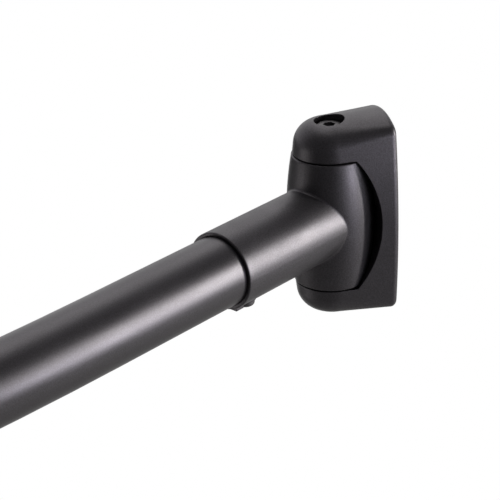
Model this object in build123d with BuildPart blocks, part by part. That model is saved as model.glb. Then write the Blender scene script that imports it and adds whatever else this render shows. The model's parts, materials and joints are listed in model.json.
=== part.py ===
"""Curved shower curtain rod: a bowed steel tube held at each end by a swivelling wall bracket.

Frame: millimetres, +Z up. The origin is the centre of the right bracket's wall face at the
height of the rod. +X points into the right-hand wall, and the rod bows towards -Y.
"""
import os
from math import cos, radians, sin, sqrt

from build123d import *

# Rod
wall_to_wall = 1524.0
tube_radius = 12.7
tube_wall = 1.0
rod_angle = 32.5
straight_past_mouth = 56.0

# Swivel fitting
pivot_to_wall = 21.1
sleeve_length = 60.0
sleeve_wall = 1.25
bore_clearance = 0.12
bore_floor = 2.4
slide_room = 12.0
barrel_past_sleeve = 2.0
barrel_bulge = 2.2
barrel_edge_radius = 0.5
junction_radius = 0.9
mouth_edge_radius = 0.5

# Bracket housing
notch_height = 50.2
notch_edge_depth = 5.5
notch_middle_depth = 14.5
barrel_gap = 0.6
barrel_pocket_gap = 0.3
nose_step = 1.2
nose_bulge = 2.5
crown_height = 37.1
crown_radius = 26.0
nose_shoulder_radius = 8.6
flare_sideways = 0.6
flare_up = 1.2
back_shoulder_radius = 4.0
wall_edge_radius = 2.0
housing_skin = 2.4
floor_skin = 2.0
pocket_from_pivot = 8.5

# Wall plate
plate_thickness = 2.4
plate_gap = 0.2
wall_hole_spacing = 44.0
wall_hole_radius = 2.25
wall_countersink_radius = 4.1
tab_width = 12.0
tab_length = 7.0
tab_thickness = 2.0

# Pivot bolt, washer and bushes
bolt_radius = 3.0
bolt_head_radius = 5.0
bolt_head_height = 2.6
bolt_head_sink = 2.0
bolt_engagement = 7.0
bolt_socket_radius = 2.0
bolt_socket_depth = 1.8
counterbore_radius = 5.55
washer_thickness = 1.4
washer_split = 1.2
bush_radius = 5.0
bush_length = 8.0
bush_flange_radius = 8.0
bush_recess = 0.8
running_clearance = 0.05
fixed_clearance = 0.03
free_clearance = 0.25

# Lock screws under the sleeve, and the grub screw under the housing
lock_radius = 2.0
lock_head_radius = 3.4
lock_head_height = 2.2
lock_boss_radius = 3.9
lock_boss_drop = 1.1
lug_from_mouth = 5.0
lug_length = 3.6
lug_gap = 0.2
lug_width = 5.0
lug_drop = 2.6
screw_spacing = 6.3
set_screw_length = 3.0
tip_clearance = 0.1
grub_from_pivot = 14.0
socket_radius = 1.15
socket_depth = 1.2

# Driver recess of the cross-head lock screws
recess_arm = 0.5
recess_reach = 1.8
recess_depth = 1.3
recess_taper = 12.0

# Values worked out from the sizes above
sleeve_bore = tube_radius + bore_clearance
sleeve_radius = sleeve_bore + sleeve_wall
barrel_middle_radius = sleeve_radius + barrel_past_sleeve
barrel_end_radius = barrel_middle_radius - barrel_bulge
nose_middle_radius = barrel_middle_radius - nose_step
nose_corner_radius = nose_middle_radius - nose_bulge
bore_start = barrel_middle_radius + bore_floor
tube_end = bore_start + slide_room
notch_half = notch_height / 2
barrel_half = notch_half - barrel_gap
bolt_seat = crown_height - bolt_head_sink - bolt_head_height - washer_thickness
bolt_tip = -(notch_half + bolt_engagement)
bush_flange = bush_recess + barrel_gap - 2 * running_clearance
plate_recess = plate_thickness + plate_gap
roof = crown_height + flare_up * pocket_from_pivot / pivot_to_wall - housing_skin
half_chord = wall_to_wall / 2 - pivot_to_wall
straight_length = sleeve_length + straight_past_mouth
bend_radius = (half_chord - straight_length * cos(radians(rod_angle))) / sin(radians(rod_angle))


def crown_drop(half_width, inset=0.0):
    """How far the crown, or its inner face, has fallen at this distance from the middle."""
    radius = crown_radius - inset
    return radius - sqrt(radius**2 - half_width**2)


def housing_outline(distance, inset=0.0, half=False):
    """Outline of the housing on a plane this far from the pivot towards the wall."""
    share = distance / pivot_to_wall
    side = nose_middle_radius + share * flare_sideways
    corner = nose_corner_radius + share * flare_sideways
    top = crown_height + share * flare_up
    corner_height = top - crown_drop(corner)
    shoulder = nose_shoulder_radius + share * (back_shoulder_radius - nose_shoulder_radius)
    with BuildSketch(Plane.YZ.offset(distance)) as outline:
        with BuildLine():
            ThreePointArc((corner, -corner_height), (side, 0), (corner, corner_height))
            ThreePointArc((corner, corner_height), (0, top), (-corner, corner_height))
            ThreePointArc((-corner, corner_height), (-side, 0), (-corner, -corner_height))
            ThreePointArc((-corner, -corner_height), (0, -top), (corner, -corner_height))
        make_face()
        fillet(outline.vertices(), radius=shoulder)
        if inset > 0:
            offset(amount=-inset, mode=Mode.REPLACE)
        if half:
            split(bisect_by=Plane.YZ)
    return outline.sketch


def barrel_profile(gap, half_height):
    """Half section of the bulging barrel, grown by a gap, for a turn about the pivot."""
    with BuildSketch(Plane.XZ) as profile:
        with BuildLine():
            Line((0, -half_height), (0, half_height))
            Line((0, half_height), (barrel_end_radius + gap, half_height))
            ThreePointArc(
                (barrel_end_radius + gap, half_height),
                (barrel_middle_radius + gap, 0),
                (barrel_end_radius + gap, -half_height),
            )
            Line((barrel_end_radius + gap, -half_height), (0, -half_height))
        make_face()
    return profile.sketch


# Room inside each jaw, behind the boss of the pivot bolt
with BuildPart() as jaw_pockets:
    extrude(housing_outline(pocket_from_pivot, inset=housing_skin), amount=pivot_to_wall - pocket_from_pivot)
    Box(4 * pivot_to_wall, 4 * pivot_to_wall, 2 * (notch_half + floor_skin), mode=Mode.SUBTRACT)

# Bracket housing: a cast shell with a crowned top and bottom and a round nose
with BuildPart() as bracket_housing:
    loft([housing_outline(0), housing_outline(pivot_to_wall)])
    revolve(housing_outline(0, half=True), axis=Axis.Z, revolution_arc=180)
    fillet(bracket_housing.faces().sort_by(Axis.X)[-1].edges(), wall_edge_radius)
    # C-shaped notch between the jaws, with a pocket that clears the turning barrel
    with BuildSketch(Plane.XZ):
        with BuildLine():
            Line((notch_edge_depth, notch_half), (-2 * pivot_to_wall, notch_half))
            Line((-2 * pivot_to_wall, notch_half), (-2 * pivot_to_wall, -notch_half))
            Line((-2 * pivot_to_wall, -notch_half), (notch_edge_depth, -notch_half))
            ThreePointArc(
                (notch_edge_depth, -notch_half),
                (notch_middle_depth, 0),
                (notch_edge_depth, notch_half),
            )
        make_face()
    extrude(amount=2 * pivot_to_wall, both=True, mode=Mode.SUBTRACT)
    revolve(barrel_profile(barrel_pocket_gap, notch_half), axis=Axis.Z, mode=Mode.SUBTRACT)
    # Hollow back: a recess for the wall plate and the room inside the jaws
    extrude(housing_outline(pivot_to_wall, inset=housing_skin), amount=-plate_recess, mode=Mode.SUBTRACT)
    add(jaw_pockets.part, mode=Mode.SUBTRACT)
    # Sunk seat and clearance hole for the pivot bolt in the upper jaw
    with BuildSketch(Plane.XY.offset(bolt_seat)):
        Circle(counterbore_radius)
    extrude(amount=crown_height, mode=Mode.SUBTRACT)
    with BuildSketch(Plane.XY):
        Circle(bolt_radius + free_clearance)
    extrude(amount=crown_height, mode=Mode.SUBTRACT)
    # Tapped blind hole in the lower jaw
    with BuildSketch(Plane.XY):
        Circle(bolt_radius + fixed_clearance)
    extrude(amount=bolt_tip - free_clearance, mode=Mode.SUBTRACT)
    # Tapped hole for the grub screw, from below into the lower jaw
    with BuildSketch(Plane.XY.offset(-roof + 1)):
        with Locations((grub_from_pivot, 0)):
            Circle(lock_radius + fixed_clearance)
    extrude(amount=-2 * housing_skin - 2, mode=Mode.SUBTRACT)

# Wall plate: a flat plate with two tabs that reach into the jaws
tab_height = roof - crown_drop(tab_width / 2, housing_skin) - free_clearance
with BuildPart() as wall_plate:
    plate_outline = housing_outline(pivot_to_wall, inset=housing_skin + free_clearance)
    extrude(plate_outline, amount=-plate_thickness)
    plate_front = pivot_to_wall - plate_thickness
    for side in (1, -1):
        with BuildSketch(Plane.YZ.offset(plate_front)):
            with Locations((0, side * (tab_height - tab_thickness / 2))):
                Rectangle(tab_width, tab_thickness)
        extrude(amount=-tab_length)
    with Locations(Plane((plate_front, 0, 0), x_dir=(0, 1, 0), z_dir=(-1, 0, 0))):
        with GridLocations(0, wall_hole_spacing, 1, 2):
            CounterSinkHole(wall_hole_radius, wall_countersink_radius, counter_sink_angle=90)

# Swivel fitting: barrel and sleeve cast in one piece, with the sleeve along +X
lock_x = sleeve_length - lug_from_mouth - lug_length - lug_gap - lock_head_radius
set_screw_x = lock_x - screw_spacing
boss_face = -sleeve_radius - lock_boss_drop
with BuildPart() as swivel_fitting:
    revolve(barrel_profile(0, barrel_half), axis=Axis.Z)
    rims = swivel_fitting.edges().filter_by(GeomType.CIRCLE).filter_by_position(
        Axis.Z, -barrel_half / 2, barrel_half / 2, (True, True)
    )
    fillet(swivel_fitting.edges().filter_by(GeomType.CIRCLE) - rims, barrel_edge_radius)
    with BuildSketch(Plane.YZ):
        Circle(sleeve_radius)
    extrude(amount=sleeve_length)
    fillet(swivel_fitting.edges(Select.NEW), junction_radius)
    mouth_edge = swivel_fitting.edges().filter_by(GeomType.CIRCLE).sort_by(Axis.X)[-1]
    fillet(mouth_edge, mouth_edge_radius)
    # Boss for the lock screw and a lug between it and the mouth, under the sleeve
    with BuildSketch(Plane.XY.offset(boss_face)):
        with Locations((lock_x, 0)):
            Circle(lock_boss_radius)
    extrude(amount=sleeve_radius)
    with BuildSketch(Plane.YZ.offset(sleeve_length - lug_from_mouth)):
        with Locations((0, -sleeve_radius - lug_drop)):
            Rectangle(lug_width, sleeve_radius, align=(Align.CENTER, Align.MIN))
    extrude(amount=-lug_length)
    # Bore for the tube
    with BuildSketch(Plane.YZ.offset(sleeve_length)):
        Circle(sleeve_bore)
    extrude(amount=bore_start - sleeve_length, mode=Mode.SUBTRACT)
    # Hole for the pivot bolt, with a seat for a flanged bush at each end
    with BuildSketch(Plane.XY):
        Circle(bolt_radius + free_clearance)
    extrude(amount=notch_height, both=True, mode=Mode.SUBTRACT)
    for end in (1, -1):
        with BuildSketch(Plane.XY.offset(end * barrel_half)):
            Circle(bush_radius + fixed_clearance)
        extrude(amount=-end * (bush_recess + bush_length), mode=Mode.SUBTRACT)
        with BuildSketch(Plane.XY.offset(end * barrel_half)):
            Circle(bush_flange_radius + free_clearance)
        extrude(amount=-end * bush_recess, mode=Mode.SUBTRACT)
    # Tapped holes for the two screws that hold the tube
    with BuildSketch(Plane.XY):
        with Locations((lock_x, 0), (set_screw_x, 0)):
            Circle(lock_radius + fixed_clearance)
    extrude(amount=-2 * sleeve_radius, mode=Mode.SUBTRACT)

# Flanged bush: its body sits in the barrel and its flange faces the upper jaw
with BuildPart() as flanged_bush:
    with BuildSketch(Plane.XY.offset(barrel_half - bush_recess)):
        Circle(bush_flange_radius)
    extrude(amount=bush_flange)
    with BuildSketch(Plane.XY.offset(barrel_half - bush_recess)):
        Circle(bush_radius)
    extrude(amount=-bush_length + free_clearance)
    with BuildSketch(Plane.XY):
        Circle(bolt_radius + running_clearance)
    extrude(amount=notch_height, mode=Mode.SUBTRACT)

# Pivot bolt: domed head with a hexagon socket, sunk in the upper jaw, shank down into the lower jaw
with BuildPart() as pivot_bolt:
    head_foot = bolt_seat + washer_thickness
    head_top = head_foot + bolt_head_height
    with BuildSketch(Plane.XY.offset(head_foot)):
        Circle(bolt_head_radius)
    extrude(amount=bolt_head_height)
    fillet(pivot_bolt.edges().sort_by(Axis.Z)[-1], bolt_head_height / 3)
    with BuildSketch(Plane.XY.offset(head_foot)):
        Circle(bolt_radius)
    extrude(amount=bolt_tip - head_foot)
    chamfer(pivot_bolt.edges().sort_by(Axis.Z)[0], bolt_radius / 5)
    with BuildSketch(Plane.XY.offset(head_top)):
        RegularPolygon(bolt_socket_radius, 6)
    extrude(amount=-bolt_socket_depth, mode=Mode.SUBTRACT)

# Spring washer: a split ring of square section under the bolt's head
with BuildPart() as spring_washer:
    with BuildSketch(Plane.XY.offset(bolt_seat)):
        Circle(bolt_head_radius)
        Circle(bolt_radius + free_clearance, mode=Mode.SUBTRACT)
        with Locations((bolt_head_radius, 0)):
            Rectangle(2 * bolt_head_radius, washer_split, rotation=20, mode=Mode.SUBTRACT)
    extrude(amount=washer_thickness)

# Lock screw: domed cross head on the boss, with its tip just clear of the tube
with BuildPart() as lock_screw:
    with BuildSketch(Plane.XY.offset(boss_face)):
        with Locations((lock_x, 0)):
            Circle(lock_head_radius)
    extrude(amount=-lock_head_height)
    fillet(lock_screw.edges().sort_by(Axis.Z)[0], lock_head_height * 0.6)
    with BuildSketch(Plane.XY.offset(-tube_radius - tip_clearance)):
        with Locations((lock_x, 0)):
            Circle(lock_radius)
    extrude(until=Until.NEXT, dir=(0, 0, -1))
    lock_head_plane = Plane((lock_x, 0, boss_face - lock_head_height), x_dir=(1, 1, 0), z_dir=(0, 0, -1))
    with BuildSketch(lock_head_plane):
        Rectangle(2 * recess_reach, 2 * recess_arm)
        Rectangle(2 * recess_arm, 2 * recess_reach)
    extrude(amount=-recess_depth, taper=recess_taper, mode=Mode.SUBTRACT)


def socket_screw(x, tip, length):
    """Headless screw with a hexagon socket in its lower end."""
    with BuildPart() as screw:
        with BuildSketch(Plane.XY.offset(tip)):
            with Locations((x, 0)):
                Circle(lock_radius)
        extrude(amount=-length)
        chamfer(screw.edges().filter_by(GeomType.CIRCLE), lock_radius / 6)
        with BuildSketch(Plane.XY.offset(tip - length)):
            with Locations((x, 0)):
                RegularPolygon(socket_radius, 6)
        extrude(amount=socket_depth, mode=Mode.SUBTRACT)
    return screw.part


# Set screw behind the lock screw, and the grub screw that holds the housing on its plate
set_screw = socket_screw(set_screw_x, -tube_radius - tip_clearance, set_screw_length)
grub_tip = -tab_height - running_clearance
grub_length = crown_height + flare_up * grub_from_pivot / pivot_to_wall + grub_tip - free_clearance
grub_screw = socket_screw(grub_from_pivot, grub_tip, grub_length)

# Rod: a round steel tube, straight at both ends and bowed between them
direction = Vector(-cos(radians(rod_angle)), -sin(radians(rod_angle)), 0)
right_pivot = Vector(-pivot_to_wall, 0, 0)
tube_start = right_pivot + direction * tube_end
bend_start = right_pivot + direction * straight_length
with BuildPart() as rod_tube:
    with BuildLine() as centre_line:
        first = Line(tube_start, bend_start)
        bend = JernArc(first @ 1, first % 1, bend_radius, -2 * rod_angle)
        Line(bend @ 1, bend @ 1 + (bend % 1) * first.length)
    with BuildSketch(Plane(tube_start, z_dir=direction)):
        Circle(tube_radius)
        Circle(tube_radius - tube_wall, mode=Mode.SUBTRACT)
    sweep()


def write(part, name):
    """Label a finished piece and write it as a STEP file of that name."""
    part.label = name
    export_step(part, f"parts/{name}.step")


os.makedirs("parts", exist_ok=True)
write(rod_tube.part, "rod_tube")
for end, pivot_x, to_wall, to_mouth in (
    ("right", -pivot_to_wall, 0, 180 + rod_angle),
    ("left", pivot_to_wall - wall_to_wall, 180, -rod_angle),
):
    bracket_place = Location((pivot_x, 0, 0), (0, 0, to_wall))
    fitting_place = Location((pivot_x, 0, 0), (0, 0, to_mouth))
    for name, piece, place in (
        ("bracket_housing", bracket_housing.part, bracket_place),
        ("wall_plate", wall_plate.part, bracket_place),
        ("pivot_bolt", pivot_bolt.part, bracket_place),
        ("spring_washer", spring_washer.part, bracket_place),
        ("housing_grub_screw", grub_screw, bracket_place),
        ("swivel_fitting", swivel_fitting.part, fitting_place),
        ("upper_bush", flanged_bush.part, fitting_place),
        ("lower_bush", mirror(flanged_bush.part, about=Plane.XY), fitting_place),
        ("lock_screw", lock_screw.part, fitting_place),
        ("set_screw", set_screw, fitting_place),
    ):
        with BuildPart() as placed:
            with Locations(place):
                add(piece)
        write(placed.part, f"{end}_{name}")
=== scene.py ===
"""Curved shower curtain rod, one end in view: a bowed tube that slides in two swivelling fittings.

Dark metallic paint over cast zinc and steel, blackened screws, zinc-plated wall plates, nylon bushes.
"""
import json
import math

import bpy
from mathutils import Matrix, Vector


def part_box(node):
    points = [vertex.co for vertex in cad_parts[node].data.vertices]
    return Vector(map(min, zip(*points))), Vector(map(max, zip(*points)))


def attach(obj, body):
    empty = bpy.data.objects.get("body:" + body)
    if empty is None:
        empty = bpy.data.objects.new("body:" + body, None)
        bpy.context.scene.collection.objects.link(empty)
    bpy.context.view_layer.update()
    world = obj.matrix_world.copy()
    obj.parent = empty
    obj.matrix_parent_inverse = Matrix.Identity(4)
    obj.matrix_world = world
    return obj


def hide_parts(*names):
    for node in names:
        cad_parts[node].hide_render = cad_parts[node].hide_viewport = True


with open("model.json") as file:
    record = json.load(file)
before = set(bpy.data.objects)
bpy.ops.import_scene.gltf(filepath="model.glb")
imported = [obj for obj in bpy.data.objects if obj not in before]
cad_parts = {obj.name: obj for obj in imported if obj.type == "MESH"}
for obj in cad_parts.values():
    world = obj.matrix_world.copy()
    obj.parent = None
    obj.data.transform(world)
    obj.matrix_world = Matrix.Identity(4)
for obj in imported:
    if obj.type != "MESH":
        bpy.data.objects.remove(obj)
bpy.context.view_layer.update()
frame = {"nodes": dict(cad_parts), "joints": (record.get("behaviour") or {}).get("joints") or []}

# Bracket housings
# A hollow zinc casting at each wall, C-shaped, with a crowned top and bottom and a round nose.
# It is die-cast in one piece, blasted, sprayed with dark metallic paint and baked.
ENDS = ("right", "left")
MM = 0.001
CASTING_COLOUR = "#4a474a"
CASTING_FLECK = "#5c595e"
CASTING_ROUGHNESS = (0.38, 0.46)
# The real flake is finer than a pixel, so its grain is drawn about ten times as coarse.
CASTING_GRAIN = 0.45 * MM
CASTING_GRAIN_DEPTH = 0.03 * MM
CASTING_CLOUD = 14 * MM
CASTING_EDGE = 0.35 * MM
PAINT_METALLIC = 0.9
BEVEL_SAMPLES = 6
# Noise keeps near a half, so a pattern takes its whole range between two such values of it.
FLAKE_LOW = 0.27
FLAKE_HIGH = 0.73
CLOUD_LOW = 0.3
CLOUD_HIGH = 0.7


def linear(hex_colour):
    """An sRGB hex colour as the linear values that the shaders take."""
    channels = [int(hex_colour[i : i + 2], 16) / 255 for i in (1, 3, 5)]
    return [c / 12.92 if c <= 0.04045 else ((c + 0.055) / 1.055) ** 2.4 for c in channels] + [1.0]


def add(tree, kind, settings=None, links=None):
    """A shader node with its settings, by attribute or input, and its incoming links. An input
    goes by its name, or by its number where several of the node's inputs share a name."""
    made = tree.nodes.new(kind)
    for name, value in (settings or {}).items():
        if isinstance(name, str) and hasattr(made, name):
            setattr(made, name, value)
        else:
            made.inputs[name].default_value = value
    for name, source in (links or {}).items():
        tree.links.new(source, made.inputs[name])
    return made


def new_material(name):
    """An empty material of that name, with its node tree and the place of its own coordinates."""
    material = bpy.data.materials.new(name)
    material.use_nodes = True
    material.node_tree.nodes.clear()
    place = add(material.node_tree, "ShaderNodeTexCoord").outputs["Object"]
    return material, material.node_tree, place


def baked_paint(name, colours, roughness, grain, grain_depth, cloud, edge):
    """Dark paint with metal flake in it, baked. It mirrors lamps as broad satin bands, slightly
    grainy and uneven, and rounds every edge a little."""
    material, tree, place = new_material(name)
    grit = add(tree, "ShaderNodeTexNoise", {"Scale": 1 / grain, "Detail": 2.0}, {"Vector": place})
    drift = add(tree, "ShaderNodeTexNoise", {"Scale": 1 / cloud, "Detail": 3.0}, {"Vector": place})
    flake = add(
        tree, "ShaderNodeMapRange",
        {"From Min": FLAKE_LOW, "From Max": FLAKE_HIGH},
        {"Value": grit.outputs["Fac"]},
    )
    tone = add(
        tree, "ShaderNodeMix",
        {"data_type": "RGBA", 6: linear(colours[0]), 7: linear(colours[1])},
        {"Factor": flake.outputs["Result"]},
    )
    gloss = add(
        tree, "ShaderNodeMapRange",
        {"From Min": CLOUD_LOW, "From Max": CLOUD_HIGH, "To Min": roughness[0], "To Max": roughness[1]},
        {"Value": drift.outputs["Fac"]},
    )
    rounded = add(tree, "ShaderNodeBevel", {"samples": BEVEL_SAMPLES, "Radius": edge})
    relief = add(
        tree, "ShaderNodeBump",
        {"Strength": 1.0, "Distance": grain_depth},
        {"Height": grit.outputs["Fac"], "Normal": rounded.outputs["Normal"]},
    )
    shader = add(
        tree, "ShaderNodeBsdfPrincipled",
        {"Metallic": PAINT_METALLIC},
        {
            "Base Color": tone.outputs[2],
            "Roughness": gloss.outputs["Result"],
            "Normal": relief.outputs["Normal"],
        },
    )
    add(tree, "ShaderNodeOutputMaterial", links={"Surface": shader.outputs["BSDF"]})
    return material


def dress(node, material):
    """The CAD node keeps its shape and gets this material alone."""
    frame["nodes"][node].data.materials.clear()
    frame["nodes"][node].data.materials.append(material)


painted_casting = baked_paint(
    "baked metallic paint on zinc",
    (CASTING_COLOUR, CASTING_FLECK),
    CASTING_ROUGHNESS,
    CASTING_GRAIN,
    CASTING_GRAIN_DEPTH,
    CASTING_CLOUD,
    CASTING_EDGE,
)
for end in ENDS:
    dress(f"{end}_bracket_housing", painted_casting)

# Swivel fittings
# The bulging barrel that turns in the bracket's notch, with the sleeve for the tube, cast in one
# piece. They are zinc castings like the housings, painted in the same bake.
for end in ENDS:
    dress(f"{end}_swivel_fitting", painted_casting)

# Rod
# One steel tube of 25.4 mm with a 1 mm wall, straight at both ends and bowed between them by
# rolling. It has the castings' paint, which lies smoother on drawn steel. The grain is again coarse.
TUBE_WALL = 1.0 * MM
TUBE_END_FROM_PIVOT = 30.47 * MM
BEND_START_FROM_PIVOT = 116 * MM
BEND_STEP = math.radians(1)
AROUND_TUBE = 128
SHARP_ANGLE = math.radians(35)
TUBE_COLOUR = "#4b484b"
TUBE_FLECK = "#59565b"
TUBE_ROUGHNESS = (0.36, 0.41)
TUBE_GRAIN = 0.4 * MM
TUBE_GRAIN_DEPTH = 0.015 * MM
TUBE_CLOUD = 25 * MM
TUBE_EDGE = 0.2 * MM


def new_piece(name, points, faces, material, body, stands_for):
    """A mesh piece in its place in the frame, on its body, that stands for a CAD node."""
    mesh = bpy.data.meshes.new(name)
    mesh.from_pydata(points, [], faces)
    mesh.materials.append(material)
    mesh.shade_smooth()
    mesh.set_sharp_from_angle(angle=SHARP_ANGLE)
    piece = bpy.data.objects.new(name, mesh)
    bpy.context.scene.collection.objects.link(piece)
    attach(piece, body)
    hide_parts(stands_for)
    return piece


joints = {joint["name"]: joint for joint in frame["joints"]}
right_pivot = Vector(joints["right_swivel"]["pos_m"])
left_pivot = Vector(joints["left_swivel"]["pos_m"])
towards_wall = Vector(joints["right_slide"]["axis"])
rod_angle = math.atan2(towards_wall.y, towards_wall.x)
tube_low, tube_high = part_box("rod_tube")
tube_radius = (tube_high.z - tube_low.z) / 2
middle = (right_pivot + left_pivot) / 2
bend_start = right_pivot - towards_wall * BEND_START_FROM_PIVOT
bend_radius = (bend_start.x - middle.x) / math.sin(rod_angle)
bend_centre = Vector((middle.x, bend_start.y + bend_radius * math.cos(rod_angle), 0))
stations = [(right_pivot - towards_wall * TUBE_END_FROM_PIVOT, rod_angle)]
bend_steps = round(2 * rod_angle / BEND_STEP)
for step in range(bend_steps + 1):
    turned = rod_angle * (1 - 2 * step / bend_steps)
    outward = Vector((math.sin(turned), -math.cos(turned), 0))
    stations.append((bend_centre + outward * bend_radius, turned))
mirrored_end = Vector((2 * middle.x - stations[0][0].x, stations[0][0].y, 0))
stations.append((mirrored_end, -rod_angle))
tube_points = []
for radius in (tube_radius, tube_radius - TUBE_WALL):
    for centre, turned in stations:
        across = Vector((math.sin(turned), -math.cos(turned), 0))
        for k in range(AROUND_TUBE):
            angle = 2 * math.pi * k / AROUND_TUBE
            rise = Vector((0, 0, radius * math.sin(angle)))
            tube_points.append(centre + across * (radius * math.cos(angle)) + rise)
inner = len(stations) * AROUND_TUBE
last = (len(stations) - 1) * AROUND_TUBE
tube_faces = []
for k in range(AROUND_TUBE):
    after = (k + 1) % AROUND_TUBE
    for row in range(0, last, AROUND_TUBE):
        ahead = row + AROUND_TUBE
        bore = inner + row
        bore_ahead = inner + ahead
        tube_faces.append((row + k, row + after, ahead + after, ahead + k))
        tube_faces.append((bore + after, bore + k, bore_ahead + k, bore_ahead + after))
    tube_faces.append((k, inner + k, inner + after, after))
    tube_faces.append((last + after, inner + last + after, inner + last + k, last + k))
painted_tube = baked_paint(
    "baked metallic paint on steel",
    (TUBE_COLOUR, TUBE_FLECK),
    TUBE_ROUGHNESS,
    TUBE_GRAIN,
    TUBE_GRAIN_DEPTH,
    TUBE_CLOUD,
    TUBE_EDGE,
)
new_piece("rod_tube_fine", tube_points, tube_faces, painted_tube, "rod", "rod_tube")

# Wall plates
# The flat steel plate that is screwed to the wall and carries the housing on its two tabs.
# It is pressed, zinc plated in a barrel and passivated: a dull mid-grey metal, faintly cloudy.
PLATE_COLOUR = "#85888a"
PLATE_CLOUD_COLOUR = "#74787b"
PLATE_SMOOTH = 0.56
PLATE_ROUGH = 0.68
PLATE_CLOUD = 6 * MM
# The lines that rolling leaves in the sheet are finer than this, and drawn wide enough to show.
PLATE_LINE_WIDTH = 0.5 * MM
PLATE_LINE_LENGTH = 12.5 * MM
PLATE_LINE_DEPTH = 0.004 * MM
plated_steel, tree, place = new_material("zinc plated steel")
clouds = add(tree, "ShaderNodeTexNoise", {"Scale": 1 / PLATE_CLOUD, "Detail": 4.0}, {"Vector": place})
line_scale = (1 / PLATE_LINE_WIDTH, 1 / PLATE_LINE_WIDTH, 1 / PLATE_LINE_LENGTH)
rolled = add(tree, "ShaderNodeMapping", {"Scale": line_scale}, {"Vector": place})
rolling_lines = add(
    tree, "ShaderNodeTexNoise",
    {"Scale": 1.0, "Detail": 2.0},
    {"Vector": rolled.outputs["Vector"]},
)
plating = add(
    tree, "ShaderNodeMix",
    {"data_type": "RGBA", 6: linear(PLATE_COLOUR), 7: linear(PLATE_CLOUD_COLOUR)},
    {"Factor": clouds.outputs["Fac"]},
)
plate_gloss = add(
    tree, "ShaderNodeMapRange",
    {"From Min": CLOUD_LOW, "From Max": CLOUD_HIGH, "To Min": PLATE_SMOOTH, "To Max": PLATE_ROUGH},
    {"Value": clouds.outputs["Fac"]},
)
plate_relief = add(
    tree, "ShaderNodeBump",
    {"Strength": 1.0, "Distance": PLATE_LINE_DEPTH},
    {"Height": rolling_lines.outputs["Fac"]},
)
plate_shader = add(
    tree, "ShaderNodeBsdfPrincipled",
    {"Metallic": 1.0},
    {
        "Base Color": plating.outputs[2],
        "Roughness": plate_gloss.outputs["Result"],
        "Normal": plate_relief.outputs["Normal"],
    },
)
add(tree, "ShaderNodeOutputMaterial", links={"Surface": plate_shader.outputs["BSDF"]})
for end in ENDS:
    dress(f"{end}_wall_plate", plated_steel)

# Pivot bolts
# A steel bolt with a domed socket head in the well of each housing, the axle of the fitting, with
# an M6 thread in the lower jaw. It is turned, thread-rolled and blackened, then oiled.
THREAD_ROWS = 8
AROUND_SCREW = 64
BOLT_RADIUS = 3.0 * MM
BOLT_HEAD = 2.6 * MM
BOLT_PITCH = 1.0 * MM
BOLT_THREAD = 16 * MM
BOLT_SOCKET = 2.3 * MM
BOLT_SOCKET_DEPTH = 1.8 * MM
# A head is flat to this share of its radius, and its dome ends this share of its height down.
DOME_FLAT = 0.72
DOME_DROP = 0.5
DOME_STEPS = 6
# A headless screw's end and every tip are turned down, in shares of the shank's radius.
CHAMFER_WIDTH = 0.84
CHAMFER_HEIGHT = 0.16
TIP_WIDTH = 0.8
TIP_HEIGHT = 0.2
# The thread's depth as a share of its pitch, and the share of that depth it has at the tip.
THREAD_DEPTH = 0.55
THREAD_AT_TIP = 0.3
# A recess is cut from a share of its depth above the head, and narrows to a share of its width.
RECESS_ABOVE = 0.2
RECESS_TAPER = 0.8
OXIDE_COLOUR = "#504e51"
OXIDE_WORN = "#6c696c"
OXIDE_METALLIC = 0.9
OXIDE_SMOOTH = 0.3
OXIDE_ROUGH = 0.48
OXIDE_MOTTLE = 0.9 * MM


def turned_screw(name, node, material, body, shank, pitch, threaded, head=0.0, head_up=True):
    """A screw about its CAD solid's own axis: a domed head if it has one, a shank and its thread."""
    low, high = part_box(node)
    axis = (low + high) / 2
    wide = (high.x - low.x) / 2
    length = high.z - low.z
    rows = []
    if head:
        for step in range(DOME_STEPS + 1):
            slope = math.radians(90 * step / DOME_STEPS)
            dome_reach = wide * (DOME_FLAT + (1 - DOME_FLAT) * math.sin(slope))
            rows.append((head * (1 - math.cos(slope)) * DOME_DROP, dome_reach))
        rows += [(head, wide), (head, shank)]
    else:
        rows += [(0.0, shank * CHAMFER_WIDTH), (shank * CHAMFER_HEIGHT, shank)]
    thread_start = max(length - threaded, rows[-1][0] + pitch / 2)
    tip = length - shank * TIP_HEIGHT
    count = round((tip - thread_start) / pitch * THREAD_ROWS)
    threads = [thread_start + (tip - thread_start) * i / count for i in range(count + 1)]
    depth = THREAD_DEPTH * pitch
    points = []
    for down, radius in rows + [(d, None) for d in threads] + [(length, shank * TIP_WIDTH)]:
        for k in range(AROUND_SCREW):
            turn = k / AROUND_SCREW
            reach = radius
            if radius is None:
                groove = abs(2 * ((down / pitch + turn) % 1) - 1)
                run_in = (down - thread_start) / pitch
                run_out = (tip - down) / pitch + THREAD_AT_TIP
                reach = shank - depth * groove * min(1, run_in, run_out)
            height = high.z - down if head_up else low.z + down
            swing = 2 * math.pi * turn * (1 if head_up else -1)
            points.append((axis.x + reach * math.cos(swing), axis.y + reach * math.sin(swing), height))
    faces = [tuple(range(AROUND_SCREW))]
    row_count = len(points) // AROUND_SCREW
    for row in range(row_count - 1):
        for k in range(AROUND_SCREW):
            here = row * AROUND_SCREW
            after = (k + 1) % AROUND_SCREW
            faces.append((here + k, here + AROUND_SCREW + k, here + AROUND_SCREW + after, here + after))
    faces.append(tuple(reversed(range(len(points) - AROUND_SCREW, len(points)))))
    return new_piece(name, points, faces, material, body, node)


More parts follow.
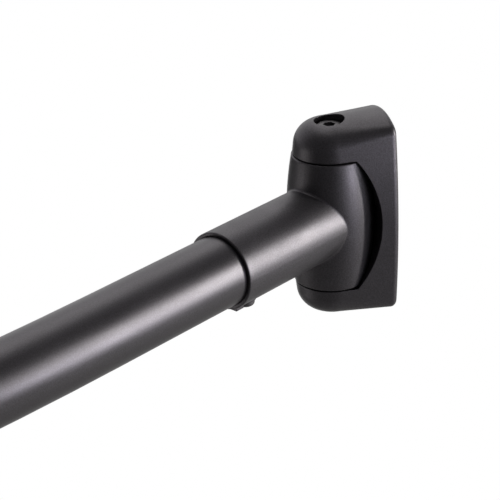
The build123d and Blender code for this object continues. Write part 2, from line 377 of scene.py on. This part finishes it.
def recess(piece, node, corners, depth, head_up=True, angle=0.0):
    """Cuts a driver's recess of this outline into a screw's head, along the screw's own axis."""
    low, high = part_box(node)
    axis = (low + high) / 2
    face = high.z if head_up else low.z
    inward = -1 if head_up else 1
    points = []
    for level, share in ((-RECESS_ABOVE * depth, 1.0), (depth, RECESS_TAPER)):
        for x, y in corners:
            spot = Matrix.Rotation(angle, 2) @ Vector((x, y * share))
            points.append((axis.x + spot.x, axis.y + spot.y, face + inward * level))
    count = len(corners)
    faces = [tuple(range(count)), tuple(reversed(range(count, 2 * count)))]
    faces += [(k, count + k, count + (k + 1) % count, (k + 1) % count) for k in range(count)]
    mesh = bpy.data.meshes.new("recess")
    mesh.from_pydata(points, [], faces)
    tool = bpy.data.objects.new("recess", mesh)
    bpy.context.scene.collection.objects.link(tool)
    cut = piece.modifiers.new("recess", "BOOLEAN")
    cut.operation = "DIFFERENCE"
    cut.solver = "EXACT"
    cut.object = tool
    bpy.context.view_layer.update()
    carved = bpy.data.meshes.new_from_object(piece.evaluated_get(bpy.context.evaluated_depsgraph_get()))
    piece.modifiers.clear()
    piece.data = carved
    bpy.data.objects.remove(tool)


def hexagon(radius):
    """The corners of a hexagon socket of this radius."""
    turns = [math.radians(60 * k) for k in range(6)]
    return [(radius * math.cos(turn), radius * math.sin(turn)) for turn in turns]


# The oiled oxide gives a dark satin metal, a little mottled where it has worn.
blackened_steel, tree, place = new_material("blackened steel")
mottle = add(tree, "ShaderNodeTexNoise", {"Scale": 1 / OXIDE_MOTTLE, "Detail": 4.0}, {"Vector": place})
oxide = add(
    tree, "ShaderNodeMix",
    {"data_type": "RGBA", 6: linear(OXIDE_COLOUR), 7: linear(OXIDE_WORN)},
    {"Factor": mottle.outputs["Fac"]},
)
oxide_gloss = add(
    tree, "ShaderNodeMapRange",
    {"From Min": CLOUD_LOW, "From Max": CLOUD_HIGH, "To Min": OXIDE_SMOOTH, "To Max": OXIDE_ROUGH},
    {"Value": mottle.outputs["Fac"]},
)
oxide_shader = add(
    tree, "ShaderNodeBsdfPrincipled",
    {"Metallic": OXIDE_METALLIC},
    {"Base Color": oxide.outputs[2], "Roughness": oxide_gloss.outputs["Result"]},
)
add(tree, "ShaderNodeOutputMaterial", links={"Surface": oxide_shader.outputs["BSDF"]})
for end in ENDS:
    bolt_node = f"{end}_pivot_bolt"
    bolt = turned_screw(
        f"{end}_pivot_bolt_threaded", bolt_node, blackened_steel, f"{end}_bracket",
        BOLT_RADIUS, BOLT_PITCH, BOLT_THREAD, BOLT_HEAD,
    )
    recess(bolt, bolt_node, hexagon(BOLT_SOCKET), BOLT_SOCKET_DEPTH)

# Spring washers
# A split ring of square steel wire under each bolt's head. It is coiled, cut, hardened and
# blackened like the bolt, so the two read as one dark metal in the well.
for end in ENDS:
    dress(f"{end}_spring_washer", blackened_steel)

# Bushes
# Four flanged bushes that the fittings turn on, two to a barrel. They are moulded in black nylon:
# a matt, slightly waxy plastic with the fine spark-eroded texture of its mould.
NYLON_COLOUR = "#1d1d1f"
NYLON_PALE = "#26262a"
NYLON_ROUGHNESS = 0.55
NYLON_IOR = 1.53
# The texture is about three times as coarse as a real mould's, so that it shows.
NYLON_TEXTURE = 0.3 * MM
NYLON_TEXTURE_DEPTH = 0.008 * MM
moulded_nylon, tree, place = new_material("moulded nylon")
eroded = add(tree, "ShaderNodeTexNoise", {"Scale": 1 / NYLON_TEXTURE, "Detail": 3.0}, {"Vector": place})
nylon_tone = add(
    tree, "ShaderNodeMix",
    {"data_type": "RGBA", 6: linear(NYLON_COLOUR), 7: linear(NYLON_PALE)},
    {"Factor": eroded.outputs["Fac"]},
)
nylon_relief = add(
    tree, "ShaderNodeBump",
    {"Strength": 1.0, "Distance": NYLON_TEXTURE_DEPTH},
    {"Height": eroded.outputs["Fac"]},
)
nylon_shader = add(
    tree, "ShaderNodeBsdfPrincipled",
    {"Roughness": NYLON_ROUGHNESS, "IOR": NYLON_IOR},
    {"Base Color": nylon_tone.outputs[2], "Normal": nylon_relief.outputs["Normal"]},
)
add(tree, "ShaderNodeOutputMaterial", links={"Surface": nylon_shader.outputs["BSDF"]})
for end in ENDS:
    for jaw in ("upper", "lower"):
        dress(f"{end}_{jaw}_bush", moulded_nylon)

# Lock screws
# A small domed cross-head machine screw, M4, from below through the boss under each sleeve. Its
# tip holds the tube where it is set. It is blackened steel like the bolt.
SMALL_RADIUS = 2.0 * MM
SMALL_PITCH = 0.7 * MM
LOCK_THREAD = 4 * MM
LOCK_HEAD = 2.2 * MM
LOCK_CROSS_REACH = 1.8 * MM
LOCK_CROSS_ARM = 0.5 * MM
LOCK_CROSS_DEPTH = 1.3 * MM
LOCK_CROSS_ANGLES = (math.radians(45), math.radians(135))
slot_corners = [(LOCK_CROSS_REACH, LOCK_CROSS_ARM), (-LOCK_CROSS_REACH, LOCK_CROSS_ARM)]
slot_corners += [(-x, -y) for x, y in slot_corners]
for end in ENDS:
    lock_node = f"{end}_lock_screw"
    lock = turned_screw(
        f"{end}_lock_screw_threaded", lock_node, blackened_steel, f"{end}_fitting",
        SMALL_RADIUS, SMALL_PITCH, LOCK_THREAD, LOCK_HEAD, head_up=False,
    )
    for angle in LOCK_CROSS_ANGLES:
        recess(lock, lock_node, slot_corners, LOCK_CROSS_DEPTH, head_up=False, angle=angle)

# Set screws and grub screws
# Headless M4 screws with a hexagon socket, driven from below: one behind each lock screw, and one
# in each lower jaw that bears on the wall plate's tab. They are threaded all along.
SOCKET_RADIUS = 1.15 * MM
SOCKET_DEPTH = 1.2 * MM
HEADLESS_THREAD = 10 * MM
for end in ENDS:
    for screw_name, screw_body in (("set_screw", "fitting"), ("housing_grub_screw", "bracket")):
        socket_node = f"{end}_{screw_name}"
        headless = turned_screw(
            f"{socket_node}_threaded", socket_node, blackened_steel, f"{end}_{screw_body}",
            SMALL_RADIUS, SMALL_PITCH, HEADLESS_THREAD, head_up=False,
        )
        recess(headless, socket_node, hexagon(SOCKET_RADIUS), SOCKET_DEPTH, head_up=False)

# Camera
# The photograph's view of the right end, from the room and a little above. It was matched to the
# edges of the housing, the sleeve and the tube.
IMAGE = 500
HEADING = math.radians(14.97)
DOWNWARD = math.radians(25.1)
ROLL = math.radians(2.24)
DISTANCE = 0.663
LENS = 131.1
SENSOR = 36
CLIP_START = 0.05
PIVOT_IN_IMAGE = (330.8, 214.2)
forward = Vector((
    math.sin(HEADING) * math.cos(DOWNWARD),
    math.cos(HEADING) * math.cos(DOWNWARD),
    -math.sin(DOWNWARD),
))
sideways = Vector((math.cos(HEADING), -math.sin(HEADING), 0))
below = forward.cross(sideways)
right = sideways * math.cos(ROLL) + below * math.sin(ROLL)
down = below * math.cos(ROLL) - sideways * math.sin(ROLL)
camera_data = bpy.data.cameras.new("camera")
camera_data.lens = LENS
camera_data.sensor_width = SENSOR
camera_data.clip_start = CLIP_START
sight = forward * (LENS / SENSOR * IMAGE)
sight += right * (PIVOT_IN_IMAGE[0] - IMAGE / 2) + down * (PIVOT_IN_IMAGE[1] - IMAGE / 2)
camera = bpy.data.objects.new("camera", camera_data)
facing = Matrix((right, -down, -forward)).transposed().to_4x4()
camera.matrix_world = Matrix.Translation(right_pivot - sight.normalized() * DISTANCE) @ facing
bpy.context.scene.collection.objects.link(camera)
bpy.context.scene.camera = camera

# Floor and surroundings
# A plain pale floor well under the rod, and a roll of white backdrop behind the object that runs
# down onto it. The camera sees plain white, and paint and metal mirror the white roll behind and a
# dim room ahead.
FLOOR_DROP = 1.9
FLOOR_HALF = 20
FLOOR_COLOUR = "#d2d2d2"
# Metres behind the rod between which the roll on the floor grows white, and metres to each side of
# its middle between which it fades.
SWEEP_START = 0.8
SWEEP_END = 3.0
SWEEP_MIDDLE = 0.2
SWEEP_FULL = 0.5
SWEEP_EDGE = 1.6
# Shares of full white in what is mirrored, and in the light that the room sheds on everything.
ROOM = 0.13
BACKDROP = 0.95
FILL = 0.1
# How far a direction points to the back, from the first of the roll to where it is all white.
BACKDROP_EDGE = 0.2
BACKDROP_FULL = 0.8
floor_mesh = bpy.data.meshes.new("floor")
floor_mesh.from_pydata(
    [(x * FLOOR_HALF, y * FLOOR_HALF, -FLOOR_DROP) for x, y in ((-1, -1), (1, -1), (1, 1), (-1, 1))],
    [],
    [(0, 1, 2, 3)],
)
floor = bpy.data.objects.new("floor", floor_mesh)
bpy.context.scene.collection.objects.link(floor)
floor_material, tree, place = new_material("matt white floor")
spot = add(tree, "ShaderNodeSeparateXYZ", links={"Vector": place})
behind = add(
    tree, "ShaderNodeMapRange",
    {"From Min": SWEEP_START, "From Max": SWEEP_END, "To Min": 0.0, "To Max": BACKDROP},
    {"Value": spot.outputs["Y"]},
)
aside = add(
    tree, "ShaderNodeMath",
    {"operation": "SUBTRACT", 1: SWEEP_MIDDLE},
    {0: spot.outputs["X"]},
)
off_middle = add(tree, "ShaderNodeMath", {"operation": "ABSOLUTE"}, {0: aside.outputs[0]})
beside = add(
    tree, "ShaderNodeMapRange",
    {"From Min": SWEEP_FULL, "From Max": SWEEP_EDGE, "To Min": 1.0, "To Max": 0.0},
    {"Value": off_middle.outputs[0]},
)
roll = add(
    tree, "ShaderNodeMath",
    {"operation": "MULTIPLY"},
    {0: behind.outputs["Result"], 1: beside.outputs["Result"]},
)
rays = add(tree, "ShaderNodeLightPath")
mirrored = add(
    tree, "ShaderNodeMath",
    {"operation": "MAXIMUM"},
    {0: rays.outputs["Is Glossy Ray"], 1: rays.outputs["Is Transmission Ray"]},
)
sweep = add(
    tree, "ShaderNodeMath",
    {"operation": "MULTIPLY"},
    {0: mirrored.outputs[0], 1: roll.outputs[0]},
)
white_share = add(
    tree, "ShaderNodeMath",
    {"operation": "MAXIMUM"},
    {0: rays.outputs["Is Camera Ray"], 1: sweep.outputs[0]},
)
floor_paint = add(tree, "ShaderNodeBsdfDiffuse", {"Color": linear(FLOOR_COLOUR)})
floor_white = add(tree, "ShaderNodeEmission", {"Strength": 1.0})
floor_seen = add(
    tree, "ShaderNodeMixShader",
    links={
        "Fac": white_share.outputs[0],
        1: floor_paint.outputs["BSDF"],
        2: floor_white.outputs["Emission"],
    },
)
add(tree, "ShaderNodeOutputMaterial", links={"Surface": floor_seen.outputs["Shader"]})
floor_mesh.materials.append(floor_material)
world = bpy.data.worlds.new("studio")
world.use_nodes = True
bpy.context.scene.world = world
sky = world.node_tree
sky.nodes.clear()
looking = add(sky, "ShaderNodeTexCoord").outputs["Generated"]
direction = add(sky, "ShaderNodeSeparateXYZ", links={"Vector": looking})
room = add(
    sky, "ShaderNodeMapRange",
    {"From Min": BACKDROP_EDGE, "From Max": BACKDROP_FULL, "To Min": ROOM, "To Max": BACKDROP},
    {"Value": direction.outputs["Y"]},
)
rays = add(sky, "ShaderNodeLightPath")
mirrored = add(
    sky, "ShaderNodeMath",
    {"operation": "MAXIMUM"},
    {0: rays.outputs["Is Glossy Ray"], 1: rays.outputs["Is Transmission Ray"]},
)
lit = add(
    sky, "ShaderNodeMix",
    {"data_type": "FLOAT", 2: FILL},
    {"Factor": mirrored.outputs[0], 3: room.outputs["Result"]},
)
seen = add(
    sky, "ShaderNodeMix",
    {"data_type": "FLOAT", 3: 1.0},
    {"Factor": rays.outputs["Is Camera Ray"], 2: lit.outputs[0]},
)
backdrop = add(
    sky, "ShaderNodeBackground",
    {"Color": linear("#ffffff")},
    {"Strength": seen.outputs[0]},
)
add(sky, "ShaderNodeOutputWorld", links={"Surface": backdrop.outputs["Background"]})

# Lamps
# A tall narrow softbox on the right, brighter in its middle, draws the band along the tube and
# throws the notch edge's shadow on the barrel. Three small cards close by lift the barrel and the
# housing's side, most at its top. Weak softboxes light the crown from behind and the nose's left.
STRIP_TINT = "#fffff9"
CARD_TINT = "#f6f7ff"


def softbox(name, heading, height, distance, size, radiance, tint):
    """A rectangular lamp that faces the bracket, with its distance and size in metres. Heading 0
    is -Y and 90 is +X, and height 0 is level with the bracket, in degrees."""
    data = bpy.data.lights.new(name, "AREA")
    data.shape = "RECTANGLE"
    data.size, data.size_y = size
    data.energy = math.pi * radiance * size[0] * size[1]
    data.color = linear(tint)[:3]
    lamp = bpy.data.objects.new(name, data)
    around, up = math.radians(heading), math.radians(height)
    source = Vector((math.sin(around) * math.cos(up), -math.cos(around) * math.cos(up), math.sin(up)))
    lamp.location = right_pivot + source * distance
    lamp.rotation_mode = "QUATERNION"
    lamp.rotation_quaternion = source.to_track_quat("Z", "Y")
    lamp.visible_camera = False
    bpy.context.scene.collection.objects.link(lamp)


softbox("tall softbox", 78, 3, 4.0, (0.3, 3.0), 11, STRIP_TINT)
softbox("tall softbox middle", 78, 4.5, 3.99, (0.3, 1.8), 62, STRIP_TINT)
softbox("right card", 49, -6, 0.42, (0.1, 0.1), 7.5, CARD_TINT)
softbox("near card", 38, 2, 0.25, (0.06, 0.06), 9.5, CARD_TINT)
softbox("front card", 20, 8, 0.25, (0.06, 0.08), 1.8, CARD_TINT)
softbox("back softbox", 160, 45, 4.0, (2.0, 2.0), 0.9, STRIP_TINT)
softbox("top softbox", 180, 75, 4.0, (2.0, 2.0), 1.4, STRIP_TINT)
softbox("low left softbox", 258, -20, 3.0, (1.4, 1.2), 1.7, STRIP_TINT)

bpy.context.scene.view_settings.view_transform = "Standard"
